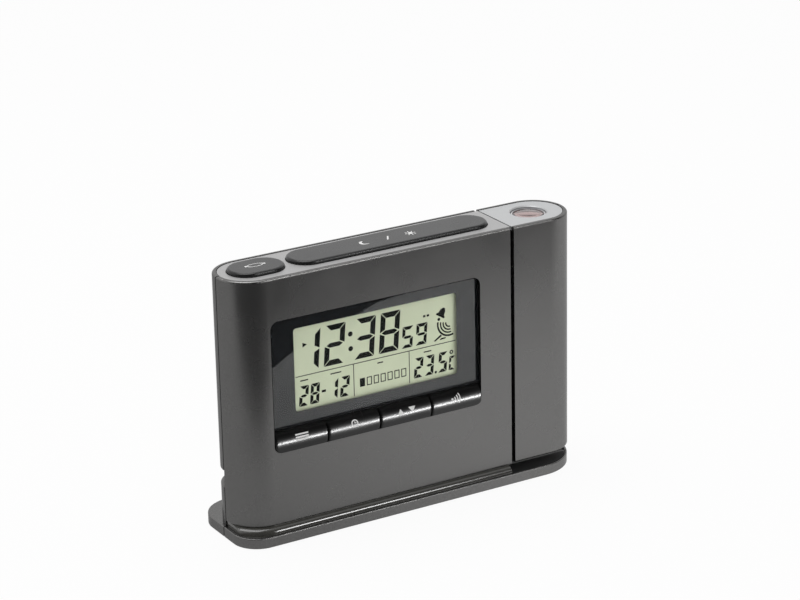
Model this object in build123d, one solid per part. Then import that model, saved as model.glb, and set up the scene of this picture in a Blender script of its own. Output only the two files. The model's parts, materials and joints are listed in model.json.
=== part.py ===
from build123d import *
import math
import os

# Projection alarm clock: a slim upright case on a wide foot, and a projector
# tower at its right-hand end that swings about a hollow pivot.
# Millimetres. X runs along the clock, Y from front to back, Z up.
# The origin is on the table, under the centre of the foot.

# ---- overall ----
base_depth = 39.4
base_top = 4.1          # height of the foot's upper face
tray_wall = 0.9         # foot left round the black tray
tray_skin = 1.0         # thinnest place of the tray
tray_reach = 1.6        # tray under the case's right end
tray_step = 1.2         # from the tray's left edge to its trough
lip_depth = 4.3         # foot in front of the case
end_overhang = 1.0      # foot beyond the case's left end
front_corner = 9.8      # left front corner of the foot
right_corner = 17.1     # right front corner, round like the tower
rear_corner = 12.8
foot_short = 1.0        # foot's right end, inside the tower's
foot_round = 0.35       # foot's upper edge
foot_height = 0.4       # rubber feet below the foot
body_length = 112.15
body_depth = 25.4
tower_width = 28.9
body_bottom = 6.4       # lower edge of the front wall and of the tower
body_top = 98.0
tower_gap = 1.55        # black gap between case and tower
seam_depth = 12.85      # from the front face to the joint of the half shells

# ---- walls and clearances ----
wall = 2.2
rim = 1.5               # wall left beside the top plates
floor_thickness = 1.5
seam_gap = 0.5
slip = 0.25             # round a moving piece
touch = 0.1             # between stacked pieces
running = 0.05          # radial, shaft in bush
rim_round = 0.7
neck_inset = 1.4        # groove under the front wall that holds the black bead
groove_depth = 0.6
bead_lip = 1.3          # lip left in front of the bead
bead_shoulder = 0.7     # half width of the bead's crown
bead_fall = 0.9         # how far the crown's middle lies below its upper edge
bead_sweep = 110        # degrees round the case's left end

# ---- top plate and buttons ----
plate_thickness = 1.5
plate_drop = 0.15
plate_overhang = 0.95   # top plate over the gap beside the tower
top_gap = 0.6           # between the two top plates
button_height = 1.25
button_width = 14.8
button_round = 1.0
button_travel = 0.8
button_flange = 1.0
button_skirt = 2.4
flip_start = 5.0        # from the case's left end
flip_length = 21.0
snooze_start = 28.4
snooze_end = 3.05       # from the case's right end
leg_radius = 1.6
switch_size = 6.0
switch_height = 3.5
plunger_radius = 1.7
plunger_height = 0.9
top_board_drop = 11.5   # switch board's upper face, below the case's top
board_thickness = 1.6
rib_thickness = 1.6
rib_places = (0.2, 0.5, 0.8)    # along the switch board

# ---- window and display ----
window_start = 13.7     # from the case's left end
window_end = 13.05      # from the case's right end
window_height = 40.9
window_drop = 15.8      # below the case's top
window_corner = 3.0
window_recess = 0.4
window_thickness = 1.5
window_bevel = 0.3
mask_thickness = 0.2
ledge_side = 3.8
ledge_end = 2.2
ledge_thickness = 1.2
view_start = 9.8        # clear view, from the window's left edge
view_end = 9.0          # from the window's right edge
view_height = 31.1
view_drop = 4.8         # below the window's top edge
view_corner = 1.2
display_border = 3.2
display_thickness = 2.2
guide_thickness = 2.2
board_margin = 3.3
chip_width = 20.0
chip_drop = 22.0        # below the main board's upper edge
chip_rise = 1.6
crystal_radius = 1.0
crystal_length = 6.0
crystal_offset = 16.0   # right of the chip

# ---- front keys ----
key_count = 4
key_height = 8.3
key_gap = 0.35
key_curve = 6.0         # radius of the rounded face
key_apex = 2.65         # face's foremost line, above the key's lower edge
key_proud = 1.0
key_round = 0.8         # softened ends
key_travel = 0.8
key_flange = 1.1
pad_thickness = 0.8
pad_stem = 1.0

# ---- projector tower ----
tower_wall = 1.8
end_plate = 1.8
pivot_height = 24.0     # above the tower's lower edge
tower_edge = 0.6
shaft_radius = 4.5
shaft_bore = 2.6
flange_radius = 6.5
flange_thickness = 1.2
bush_wall = 1.2
washer_thickness = 0.8
clip_thickness = 0.8
clip_groove = 0.6
clip_rim = 1.4
clip_opening = 5.0
washer_rim = 2.6
thrust_rim = 2.4
shaft_tail = 2.2        # shaft beyond the clip
swing_clearance = 0.8
lens_hole = 6.6
barrel_radius = 7.4
barrel_wall = 1.2
barrel_length = 16.0
barrel_drop = 3.6       # barrel's shoulder below the tower's top
neck_rise = 2.65        # barrel's neck above its shoulder
neck_wall = 0.5
lens_thickness = 2.6
focus_travel = 1.4
wheel_radius = 7.4
wheel_thickness = 2.8
wheel_notches = 24
notch_size = 0.8
wheel_gap = 0.3         # between the barrel's guide and the wheel
wheel_level = 5.0       # wheel's centre above the barrel's lower end
axle_boss = 1.5         # wall round the axle's hole
axle_end = 0.4
crank_reach = 1.0       # pin's end inside the barrel's surface
pin_play = 0.3
lens_chamfer = 0.4
lens_recess = 0.2       # lens's edge below the barrel's rim
lens_seat = 1.6
field_thickness = 2.5
field_recess = 0.4
lens_edge = 0.6         # share of a lens's thickness left at its edge
crank_radius = 3.1
crank_pin = 0.8
axle_radius = 1.5
lamp_board_length = 19.0
lamp_radius = 2.5
lamp_body = 5.0
lamp_rim = 0.4
lamp_collar = 1.0
condenser_drop = 5.0    # condenser's flat face below the projection display
condenser_thickness = 4.0
condenser_curve = 12.0
condenser_seat = 1.0
condenser_opening = 5.5
imager_height = 17.0    # projection display above the lamp board
imager_thickness = 1.8
imager_gap = 2.8        # below the lowered barrel
imager_corner = 0.5     # display's corners inside the tube's outside
guide_drop = 1.0        # guide's rim below the lowered barrel's shoulder
guide_window = 4.0
tube_wall = 1.1

# ---- power, sound and radio ----
cell_radius = 5.25      # two AAA cells
cell_length = 44.5
cell_space = 0.8
cell_tip = 0.9
tip_radius = 1.9
contact_thickness = 0.4
contact_size = (7.0, 8.0)
leaf_width = 3.0
contact_room = 3.4
cover_thickness = 1.6
cover_margin = 1.8
cover_corner = 2.0
notch_width = 12.0      # finger notch in the cover's upper edge
notch_height = 3.0
notch_depth = 0.8
cover_grips = 3
bay_wall = 1.4
bay_gap = 2.65          # between the battery bay and the projection switch
bay_bottom = 9.6
jack_height = 22.3
jack_depth = 18.0       # behind the front face
jack_pocket = 5.2       # depth of the pocket for the plug
jack_bore = 2.8
jack_pin = 0.8
jack_length = 9.5
jack_size = 8.0
jack_margin = 1.0       # pocket's height beyond the bore
jack_end = 1.5          # housing's closed end
rod_radius = 4.0
rod_gap = 4.65          # between the rod and the buzzer
rod_start = 18.0
rod_height = 64.0
coil_thickness = 1.2
coil_length = 22.0
buzzer_radius = 8.5
buzzer_height = 4.6
buzzer_inset = 21.0     # from the case's right end
buzzer_level = 58.0
slot_pitch = 2.4
slot_rows = 5
buzzer_hole = 1.0
slide_inset = 21.0
slide_level = 30.0
slide_travel = 1.5      # each way
knob_size = 3.2
knob_proud = 0.9
slide_can = (12.4, 4.6, 6.4)
can_floor = 1.2
grip_pitch = 1.6        # fine grooves for the finger
grip_width = 0.7
grip_depth = 0.4
knob_grooves = 3

# ---- fasteners and feet ----
post_radius = 3.0
left_post_inset = 6.6
right_post_inset = 5.8
jack_post_rise = 6.0    # left lower post, above the power socket
pivot_post_drop = 16.0  # right lower post, below the pivot
board_post_inset = 0.4  # from the window's side edges
board_post_level = 6.0  # from the window's upper and lower edges
tower_post_inset = 7.5
tower_post_height = 6.6
lamp_post_drop = 9.0    # upper tower post, below the lamp board
board_post = 2.4
screw_radius = 1.3
head_radius = 2.4
head_height = 1.6
head_sink = 6.0         # screw heads below the rear face
screw_reach = 6.5       # screw length in the front half
small_screw = 0.9
small_head = 1.7
small_length = 2.5
small_cap = 1.1
screw_play = 0.05       # radial, between a screw and its hole
foot_radius = 4.0
foot_sunk = 0.6
foot_inset_x = 11.0
foot_inset_y = 8.0
cable_radius = 1.0
cable_rise = 16.0       # start of the leads on the main board, above the pivot
cable_inset = 14.0      # from the main board's right edge
cable_turn = 4.6        # from the shaft's flange to the upward run in the tower
run_share = 0.45        # of the shorter run, taken up by its arc

# ---- worked out from the sizes above ----
base_length = end_overhang + body_length + tower_gap + tower_width
base_bottom = foot_height
floor_top = base_bottom + floor_thickness
body_left = -base_length / 2 + end_overhang
body_right = body_left + body_length
tower_left = body_right + tower_gap
tower_right = tower_left + tower_width
tower_mid = (tower_left + tower_right) / 2
body_front = -base_depth / 2 + lip_depth
body_rear = body_front + body_depth
body_mid = (body_front + body_rear) / 2
end_radius = body_depth / 2
seam = body_front + seam_depth
pivot_z = body_bottom + pivot_height
plate_top = body_top - plate_drop
plate_bottom = plate_top - plate_thickness
plate_inset = rim + slip
far = 3 * base_length

window_top = body_top - window_drop
window_x = (body_left + window_start, body_right - window_end)
window_z = (window_top - window_height, window_top)
key_z = (window_z[0] - key_height, window_z[0])
window_front = body_front + window_recess
window_back = window_front + window_thickness
mask_front = window_back + touch
mask_back = mask_front + mask_thickness
ledge_back = mask_back + ledge_thickness
view_x = (window_x[0] + view_start, window_x[1] - view_end)
view_z = (window_top - view_drop - view_height, window_top - view_drop)
display_x = (view_x[0] - display_border, view_x[1] + display_border)
display_z = (view_z[0] - display_border, view_z[1] + display_border)
display_back = ledge_back + display_thickness
guide_back = display_back + guide_thickness
board_y = (guide_back + touch, guide_back + touch + board_thickness)
pad_front = board_y[0] - pad_thickness
board_x = (window_x[0] - board_margin, window_x[1] + board_margin)
board_z = (key_z[0] - board_margin, window_top + board_margin / 3)

flip_x = (body_left + flip_start, body_left + flip_start + flip_length)
snooze_x = (body_left + snooze_start, body_right - snooze_end)
snooze_length = snooze_x[1] - snooze_x[0]
button_top = body_top + button_height
top_board_z = (body_top - top_board_drop - board_thickness, body_top - top_board_drop)
top_board_x = (flip_x[0] + button_width / 4, body_right - end_radius)
top_board_y = (body_mid - button_width / 2, body_mid + button_width / 2)
switch_spots = [(flip_x[0] + flip_x[1]) / 2, snooze_x[0] + snooze_length / 4, snooze_x[1] - snooze_length / 4]

high_post = top_board_z[0] - post_radius - 1
post_x = (body_left + left_post_inset, body_right - right_post_inset)
case_posts = [(post_x[0], jack_height + jack_size / 2 + jack_post_rise), (post_x[0], high_post),
              (post_x[1], pivot_z - pivot_post_drop), (post_x[1], high_post)]
board_posts = [(x, z) for x in (window_x[0] + board_post_inset, window_x[1] - board_post_inset)
               for z in (window_z[0] + board_post_level, window_z[1] - board_post_level)]
barrel_z = (body_top - barrel_drop - barrel_length, body_top - barrel_drop)
neck_top = barrel_z[1] + neck_rise
neck_radius = lens_hole - slip
imager_z = barrel_z[0] - focus_travel - imager_gap - imager_thickness
lamp_z = imager_z - imager_height
tower_posts = [(tower_left + tower_post_inset, body_bottom + tower_post_height),
               (tower_right - tower_post_inset, body_bottom + tower_post_height),
               (tower_right - tower_post_inset, lamp_z - lamp_post_drop)]
head_seat = body_rear - head_sink
foot_places = [(x, y) for x in (-base_length / 2 + foot_inset_x, base_length / 2 - foot_inset_x)
               for y in (-base_depth / 2 + foot_inset_y, base_depth / 2 - foot_inset_y)]

slide_x = body_right - slide_inset
bay_right = slide_x - slide_can[0] / 2 - bay_gap
bay_x = (bay_right - cell_length - 2 * contact_room, bay_right)
bay_z = (bay_bottom, bay_bottom + 4 * cell_radius + 2 * cell_space)
cover_x = (bay_x[0] - cover_margin, bay_x[1] + cover_margin)
cover_z = (bay_z[0] - cover_margin, bay_z[1] + cover_margin)
cover_front = body_rear - cover_thickness
bay_front = cover_front - 2 * cell_radius - cell_space
cell_y = (bay_front + cover_front) / 2
cell_rows = (bay_z[0] + cell_space / 2 + cell_radius, bay_z[1] - cell_space / 2 - cell_radius)

bush_x = (body_right - end_plate, tower_left - touch)
washer_x = (bush_x[0] - washer_thickness, bush_x[0])
clip_x = (washer_x[0] - clip_thickness, washer_x[0])
flange_x = (tower_left + end_plate, tower_left + end_plate + flange_thickness)
shaft_x = (clip_x[0] - shaft_tail, flange_x[1])
cable_middle = (body_right + tower_left) / 2

swing_radius = math.hypot(pivot_height - tower_edge, end_radius - tower_edge) + tower_edge
trough_radius = swing_radius + swing_clearance
tray_top = base_top - touch
tray_bottom = pivot_z - trough_radius - tray_skin
tray_left = body_right - tray_reach
tray_rear = body_rear + tray_step

buzzer_x = body_right - buzzer_inset
rod_x = (body_left + rod_start, buzzer_x - buzzer_radius - rod_gap)
rod_y = body_rear - wall - rod_radius - coil_thickness - 2 * touch
coil_x = ((rod_x[0] + rod_x[1] - coil_length) / 2, (rod_x[0] + rod_x[1] + coil_length) / 2)
jack_y = body_front + jack_depth
jack_room = 2 * jack_bore + jack_margin
jack_x = (body_left + jack_pocket + wall, body_left + jack_pocket + wall + jack_length)

tube_bore = barrel_radius + slip
tube_radius = tube_bore + tube_wall
wheel_x = (tower_mid + tube_radius + wheel_gap, tower_mid + tube_radius + wheel_gap + wheel_thickness)
wheel_y = body_mid + crank_radius
wheel_z = barrel_z[0] + wheel_level


# ---- small helpers ----
def block(x, y, z):
    """Box between a low and a high value on each axis."""
    size = (x[1] - x[0], y[1] - y[0], z[1] - z[0])
    return Pos((x[0] + x[1]) / 2, (y[0] + y[1]) / 2, (z[0] + z[1]) / 2) * Box(*size)


def bar_x(radius, x, y, z):
    """Round bar along X, from x[0] to x[1]."""
    return Pos((x[0] + x[1]) / 2, y, z) * Rot(0, 90, 0) * Cylinder(radius, x[1] - x[0])


def bar_y(radius, x, y, z):
    """Round bar along Y, from y[0] to y[1]."""
    return Pos(x, (y[0] + y[1]) / 2, z) * Rot(90, 0, 0) * Cylinder(radius, y[1] - y[0])


def bar_z(radius, x, y, z):
    """Round bar along Z, from z[0] to z[1]."""
    return Pos(x, y, (z[0] + z[1]) / 2) * Cylinder(radius, z[1] - z[0])


def around(middle, size):
    """Low and high value of a length set round its middle."""
    return middle - size / 2, middle + size / 2


def prism(plan, low, high):
    """Upright prism on a plan."""
    return extrude(Pos(0, 0, low) * plan, high - low)


def upright(outline, y):
    """Plate on an outline drawn in X and Z, from y[0] to y[1]."""
    plane = Plane(origin=(0, y[1], 0), x_dir=(1, 0, 0), z_dir=(0, -1, 0))
    return extrude(plane * outline, y[1] - y[0])


def panel(x, z, y, radius):
    """Upright plate with rounded corners, from y[0] to y[1]."""
    corners = RectangleRounded(x[1] - x[0], z[1] - z[0], radius)
    return upright(Pos((x[0] + x[1]) / 2, (z[0] + z[1]) / 2) * corners, y)


def joined(solids):
    """All the solids of a list, fused."""
    result = solids[0]
    for solid in solids[1:]:
        result = result + solid
    return result


def group(solids):
    """Separate solids kept together as one node."""
    return Compound(children=[s for solid in solids for s in solid.solids()])


def shell_screw(x, z):
    """Screw that pulls a rear shell to its front shell."""
    shank = bar_y(screw_radius - screw_play, x, (seam - screw_reach + touch, head_seat + touch), z)
    return shank + bar_y(head_radius, x, (head_seat, head_seat + head_height), z)


def front_half(solid):
    return solid & block((-far, far), (-far, seam), (-far, far))


def rear_half(solid):
    return solid & block((-far, far), (seam + seam_gap, far), (-far, far))


# ---- plans ----
def body_plan(inset, right=None):
    """Case in plan: round left end, flat right end."""
    right = body_right if right is None else right
    middle_x = body_left + end_radius
    radius = end_radius - inset
    straight = Pos((middle_x + right) / 2, body_mid) * Rectangle(right - middle_x, 2 * radius)
    return Pos(middle_x, body_mid) * Circle(radius) + straight


def tower_plan(inset, left=None):
    """Tower in plan: flat left end, round right end."""
    left = tower_left if left is None else left
    middle_x = tower_right - end_radius
    radius = end_radius - inset
    straight = Pos((left + middle_x) / 2, body_mid) * Rectangle(middle_x - left, 2 * radius)
    return Pos(middle_x, body_mid) * Circle(radius) + straight


def base_plan(inset):
    """Foot in plan: a rectangle with its largest corner in front of the tower."""
    size = (base_length - foot_short - 2 * inset, base_depth - 2 * inset)
    plan = Pos(-foot_short / 2, 0) * Rectangle(*size)
    plan = fillet(plan.vertices().group_by(Axis.Y)[0].sort_by(Axis.X)[0], front_corner - inset)
    plan = fillet(plan.vertices().group_by(Axis.Y)[0].sort_by(Axis.X)[-1], right_corner - inset)
    rear = [v for v in plan.vertices() if v.Y > base_depth / 2 - inset - touch]
    return fillet(rear, rear_corner - inset)


def slot_plan(x, width):
    """Slot-shaped plan of a top button."""
    return Pos((x[0] + x[1]) / 2, body_mid) * SlotOverall(x[1] - x[0], width)


# ---- case shells ----
def top_edges(solid):
    """Outer edges round the top, without the straight one at the pivot."""
    edges = []
    for edge in solid.edges():
        size = edge.bounding_box().size
        level = abs(edge.center().Z - body_top) < touch and size.Z < touch
        if level and not (edge.geom_type == GeomType.LINE and size.Y > size.X):
            edges.append(edge)
    return edges


def case_outside(neck):
    """Outer form of the case on its foot; neck is how far it steps in above the foot."""
    body = prism(body_plan(0), body_bottom, body_top)
    body = fillet(top_edges(body), rim_round)
    stem = prism(body_plan(neck), base_top, body_bottom)
    foot = prism(base_plan(0), base_bottom, base_top)
    foot = fillet(foot.edges().group_by(Axis.Z)[-1], foot_round)
    return body + stem + foot


def case_cavity():
    """Room inside the case, narrower where the front wall steps in."""
    low = prism(body_plan(neck_inset + wall, tray_left - rim), floor_top, body_bottom + wall)
    high = prism(body_plan(wall, body_right + touch), body_bottom + wall, body_top)
    rebate = prism(body_plan(rim, body_right + touch), plate_bottom, body_top + wall)
    return low + high + rebate


def tray_room(gap):
    """Pocket in the foot, under the tower, for the black tray."""
    limit = block((tray_left + gap, far), (-far, tray_rear - gap), (tray_bottom, body_bottom))
    return prism(base_plan(tray_wall + gap), tray_bottom, body_bottom) & limit


def bead_limit(gap, low, high):
    """Room inside the lip, along the front and round the left corner."""
    limit = block((-far, tray_left - gap), (-far, seam), (low, high))
    return prism(base_plan(bead_lip + gap), low, high) & limit


def bead_groove():
    floor_z = base_top - groove_depth
    return bead_limit(0, floor_z, base_top) - prism(body_plan(neck_inset, far), floor_z, base_top)


def end_opening():
    """Opening for the black end plate beside the tower."""
    return block((body_right - end_plate, body_right + touch), (body_front + wall, body_rear - wall),
                 (body_bottom + wall, plate_bottom))


def window_frame():
    """Thickening behind the front wall, round the window and the keys."""
    return block((window_x[0] - wall, window_x[1] + wall), (body_front + wall / 2, ledge_back),
                 (key_z[0] - wall, window_z[1] + wall))


def window_cuts():
    """Recess of the window, opening before the display, and the key slot."""
    outline_z = (key_z[0], window_z[1])
    recess = panel(window_x, outline_z, (body_front - wall, mask_back), window_corner)
    opening = block((window_x[0] + ledge_side, window_x[1] - ledge_side), (body_front, ledge_back + wall),
                    (window_z[0] + ledge_end, window_z[1] - ledge_end))
    slot = panel(window_x, outline_z, (body_front, ledge_back + wall), window_corner)
    return recess + opening + (slot & block(window_x, (body_front, ledge_back + wall), key_z))


def front_posts():
    """Bosses for the case screws and for the main board."""
    posts = [bar_y(post_radius, x, (body_front + wall / 2, seam), z) for x, z in case_posts]
    posts += [bar_y(board_post, x, (body_front + wall / 2, board_y[0]), z) for x, z in board_posts]
    return joined(posts)


def board_ribs(y):
    """Ribs under the switch board of the top buttons."""
    span = top_board_x[1] - top_board_x[0]
    low = top_board_z[0] - 2 * rib_thickness
    middles = [top_board_x[0] + share * span for share in rib_places]
    return joined([block(around(x, rib_thickness), y, (low, top_board_z[0])) for x in middles])


def feet_sockets():
    return joined([bar_z(foot_radius + touch, x, y, (base_bottom - touch, base_bottom + foot_sunk))
                   for x, y in foot_places])


def front_shell():
    plain = case_outside(neck_inset) - case_cavity() - tray_room(0) - bead_groove() - end_opening()
    ribs = board_ribs((body_front + wall / 2, top_board_y[0] + wall))
    inside = window_frame() + front_posts() + ribs + jack_walls((seam - rib_thickness, seam))
    inside = inside & prism(body_plan(wall / 2), body_bottom, body_top)
    shell = plain + inside - window_cuts() - feet_sockets()
    for x, z in case_posts:
        shell = shell - bar_y(screw_radius, x, (seam - screw_reach, seam + touch), z)
    for x, z in board_posts:
        shell = shell - bar_y(small_screw, x, (ledge_back, board_y[0] + touch), z)
    return front_half(shell)


def battery_bay():
    return block((bay_x[0] - bay_wall, bay_x[1] + bay_wall), (bay_front - bay_wall, body_rear - wall / 2),
                 (bay_z[0] - bay_wall, bay_z[1] + bay_wall))


def battery_room():
    """Space for the cells, with the rebate of the cover."""
    rebate = panel(cover_x, cover_z, (cover_front - touch, body_rear + wall), cover_corner)
    return block(bay_x, (bay_front, body_rear + wall), bay_z) + rebate


def rod_cradles():
    """Two forked ribs that hold the aerial's ferrite rod."""
    z = around(rod_height, 2 * rod_radius + 2 * rib_thickness)
    ribs = joined([block(around(x, rib_thickness), (rod_y - rod_radius / 2, body_rear - wall / 2), z)
                   for x in (rod_x[0] + rod_radius, rod_x[1] - rod_radius)])
    return ribs - bar_x(rod_radius + touch, rod_x, rod_y, rod_height)


def buzzer_ring():
    """Collar round the buzzer on the rear wall."""
    y = (body_rear - wall - buzzer_height / 2, body_rear - wall / 2)
    ring = bar_y(buzzer_radius + slip + rib_thickness, buzzer_x, y, buzzer_level)
    room = (y[0] - touch, body_rear - wall)
    return ring - bar_y(buzzer_radius + slip, buzzer_x, room, buzzer_level)


def sound_slots():
    """Rows of slots in front of the buzzer, shorter towards the edge."""
    slots = []
    for row in range(slot_rows):
        rise = (row - (slot_rows - 1) / 2) * slot_pitch
        z = buzzer_level + rise
        half = math.sqrt((buzzer_radius - rib_thickness) ** 2 - rise ** 2)
        slots.append(block(around(buzzer_x, 2 * half), (body_rear - 2 * wall, body_rear + wall),
                           around(z, slot_pitch / 2)))
    return joined(slots)


def jack_flat():
    """Flat-bottomed pocket in the round end, where the power plug goes in."""
    x = (body_left - wall, body_left + jack_pocket)
    return block(x, (seam, body_rear), around(jack_height, jack_room))


def jack_walls(y):
    """Walls round the plug's pocket; the power socket's housing rests on them."""
    x = (body_left + wall / 2, jack_x[0] - touch)
    return block(x, y, around(jack_height, jack_room + 2 * rib_thickness))


def slide_slot():
    """Slot in the rear wall for the knob of the projection switch."""
    length = knob_size + 2 * slide_travel + 2 * slip
    return block(around(slide_x, length), (body_rear - 2 * wall, body_rear + wall),
                 around(slide_level, knob_size + 2 * slip))


def rear_shell():
    plain = case_outside(0) - case_cavity() - tray_room(0) - end_opening()
    ribs = board_ribs((top_board_y[1] - wall, body_rear - wall / 2))
    posts = joined([bar_y(post_radius, x, (seam, body_rear - wall / 2), z) for x, z in case_posts])
    inside = rod_cradles() + buzzer_ring() + jack_walls((seam, body_rear)) + ribs + posts
    shell = rear_half(plain + (inside & prism(body_plan(wall / 2), floor_top, body_top)))
    shell = shell + battery_bay() - battery_room() - sound_slots()
    shell = shell - jack_flat() - slide_slot() - feet_sockets()
    shell = shell - bar_x(jack_bore, (body_left, jack_x[0]), jack_y, jack_height)
    for x, z in case_posts:
        shell = shell - bar_y(screw_radius + slip, x, (seam - touch, body_rear), z)
        shell = shell - bar_y(head_radius + slip, x, (head_seat, body_rear + touch), z)
    return shell


def body_end_plate():
    """Black end of the case, facing the tower, with the bush's hole."""
    plate = block((body_right - end_plate, body_right), (body_front + wall + touch, body_rear - wall - touch),
                  (body_bottom + wall + touch, plate_bottom - touch))
    return plate - bar_x(shaft_radius + running + bush_wall, (-far, far), body_mid, pivot_z)


# ---- foot ----
def base_bead():
    """Black bead in the groove between the front wall and the lip."""
    low = base_top - groove_depth
    high = body_bottom - touch
    inner = body_front + neck_inset - touch
    outer = body_front - lip_depth + bead_lip + touch
    shoulder = body_front + neck_inset / 2
    x = body_left + end_radius
    crown_middle = (x, outer + bead_shoulder, high - bead_fall)
    crown = ThreePointArc((x, shoulder, high), crown_middle, (x, outer, base_top))
    outline = [Line((x, inner, low), (x, inner, high)), Line((x, inner, high), (x, shoulder, high)), crown,
               Line((x, outer, base_top), (x, outer, low)), Line((x, outer, low), (x, inner, low))]
    profile = Face(Wire(outline))
    straight = extrude(profile, tray_left - touch - x, dir=(1, 0, 0))
    corner = revolve(profile, Axis((x, body_mid, 0), (0, 0, 1)), -bead_sweep)
    bead = (straight + corner) & bead_limit(touch, low, high)
    filling = bead_limit(touch, low, base_top) - prism(body_plan(neck_inset - touch, far), low, base_top)
    return bead + filling


def base_tray():
    """Black tray under the tower, hollowed where the tower's lower end swings."""
    tray = tray_room(touch) & block((-far, far), (-far, far), (tray_bottom, tray_top))
    return tray - bar_x(trough_radius, (tray_left + tray_step, tower_right + wall), body_mid, pivot_z)


def rubber_feet():
    return group([bar_z(foot_radius, x, y, (0, base_bottom + foot_sunk - touch)) for x, y in foot_places])


# ---- top plate and buttons ----
def top_plate():
    plan = body_plan(plate_inset, body_right + plate_overhang)
    plate = prism(plan, plate_bottom, plate_top)
    for x in (flip_x, snooze_x):
        opening = slot_plan((x[0] - slip, x[1] + slip), button_width + 2 * slip)
        plate = plate - prism(opening, plate_bottom - touch, plate_top + touch)
    return plate


def top_button(x, spots):
    """Slot-shaped button with a soft edge, a flange under the plate and legs to its switches."""
    cap = prism(slot_plan(x, button_width), plate_bottom - button_skirt, button_top)
    cap = fillet(cap.faces().sort_by(Axis.Z)[-1].edges(), button_round)
    flange_low = plate_bottom - button_skirt
    flange_x = (x[0] - button_flange, x[1] + button_flange)
    flange = prism(slot_plan(flange_x, button_width + 2 * button_flange), flange_low, plate_bottom - touch)
    room = slot_plan((x[0] + wall, x[1] - wall), button_width - 2 * wall)
    button = cap + flange - prism(room, flange_low - touch, plate_bottom)
    leg_z = (top_board_z[1] + switch_height + plunger_height + button_travel + touch, plate_bottom + touch)
    legs = [bar_z(leg_radius, spot, body_mid, leg_z) for spot in spots]
    return button + joined(legs)


def top_board():
    return block(top_board_x, top_board_y, top_board_z)


def button_switches():
    """Push switches under the top buttons."""
    switches = []
    for x in switch_spots:
        body = block(around(x, switch_size), around(body_mid, switch_size),
                     (top_board_z[1], top_board_z[1] + switch_height))
        top = top_board_z[1] + switch_height
        switches.append(body + bar_z(plunger_radius, x, body_mid, (top - touch, top + plunger_height)))
    return group(switches)


# ---- window, display and board ----
def display_window():
    """Clear plate with bevelled edges, square where the keys begin."""
    plate = panel((window_x[0] + touch, window_x[1] - touch), (key_z[0], window_z[1] - touch),
                  (window_front, window_back), window_corner)
    plate = chamfer(plate.faces().sort_by(Axis.Y)[0].edges(), window_bevel)
    return plate & block(window_x, (window_front, window_back), (window_z[0] + touch, window_z[1]))


def window_mask():
    """Black frame behind the window, open over the display's view."""
    plate = panel((window_x[0] + touch, window_x[1] - touch), (key_z[0], window_z[1] - touch),
                  (mask_front, mask_back), window_corner)
    plate = plate & block(window_x, (mask_front, mask_back), (window_z[0] + touch, window_z[1]))
    return plate - panel(view_x, view_z, (mask_front - touch, mask_back + touch), view_corner)


def display_glass():
    """Liquid-crystal display: two sheets, the rear one set back along the lower edge."""
    sheet = display_thickness / 2
    front = block(display_x, (ledge_back, ledge_back + sheet), display_z)
    rear_z = (display_z[0] + display_border / 2, display_z[1])
    rear = block(display_x, (ledge_back + sheet, display_back), rear_z)
    return front + rear


def light_guide():
    return block(display_x, (display_back, guide_back), (display_z[0] + display_border, display_z[1]))


def contact_strip():
    """Rubber strip that joins the display's lower edge to the main board."""
    z = (display_z[0] + touch, display_z[0] + display_border / 2 - touch)
    x = (display_x[0] + wall, display_x[1] - wall)
    return block(x, (ledge_back + display_thickness / 2, board_y[0]), z)


def main_board():
    board = block(board_x, board_y, board_z)
    for x, z in board_posts:
        board = board - bar_y(small_screw + touch, x, (board_y[0] - 1, board_y[1] + 1), z)
    return board


def board_chip():
    """Epoxy dome over the clock chip."""
    x = (board_x[0] + board_x[1]) / 2
    z = board_z[1] - chip_drop
    curve = chip_width / 2
    dome = Pos(x, board_y[1] + chip_rise - curve, z) * Sphere(curve)
    return dome & block(around(x, chip_width), (board_y[1], board_y[1] + curve), around(z, chip_width))


def quartz_crystal():
    x = (board_x[0] + board_x[1]) / 2 + crystal_offset
    z = around(board_z[1] - chip_drop, crystal_length)
    return bar_z(crystal_radius, x, board_y[1] + crystal_radius, z)


def board_screws():
    screws = []
    for x, z in board_posts:
        shank = bar_y(small_screw - screw_play, x, (board_y[0] - small_length, board_y[1] + touch), z)
        screws.append(shank + bar_y(small_head, x, (board_y[1], board_y[1] + small_cap), z))
    return group(screws)


# ---- front keys ----
def key_span(index):
    """Left and right end of one key, with the play of the slot at the outer ends."""
    pitch = (window_x[1] - window_x[0]) / key_count
    left = window_x[0] + index * pitch
    return (max(left + key_gap / 2, window_x[0] + slip),
            min(left + pitch - key_gap / 2, window_x[1] - slip))


def key_limit(index, x, z):
    """Room round a key, seen from the front: the two end keys have one rounded lower corner."""
    size = (x[1] - x[0] + 2 * touch, z[1] - z[0] + 2 * touch)
    outline = Pos((x[0] + x[1]) / 2, (z[0] + z[1]) / 2) * Rectangle(*size)
    low = outline.vertices().group_by(Axis.Y)[0].sort_by(Axis.X)
    radius = window_corner - slip + touch
    if index == 0:
        outline = fillet(low[0], radius)
    if index == key_count - 1:
        outline = fillet(low[-1], radius)
    return outline


def key_face(level):
    """Depth of a key's rounded face, at a level from its foremost line."""
    return body_front - key_proud + key_curve - math.sqrt(key_curve ** 2 - level ** 2)


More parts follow.
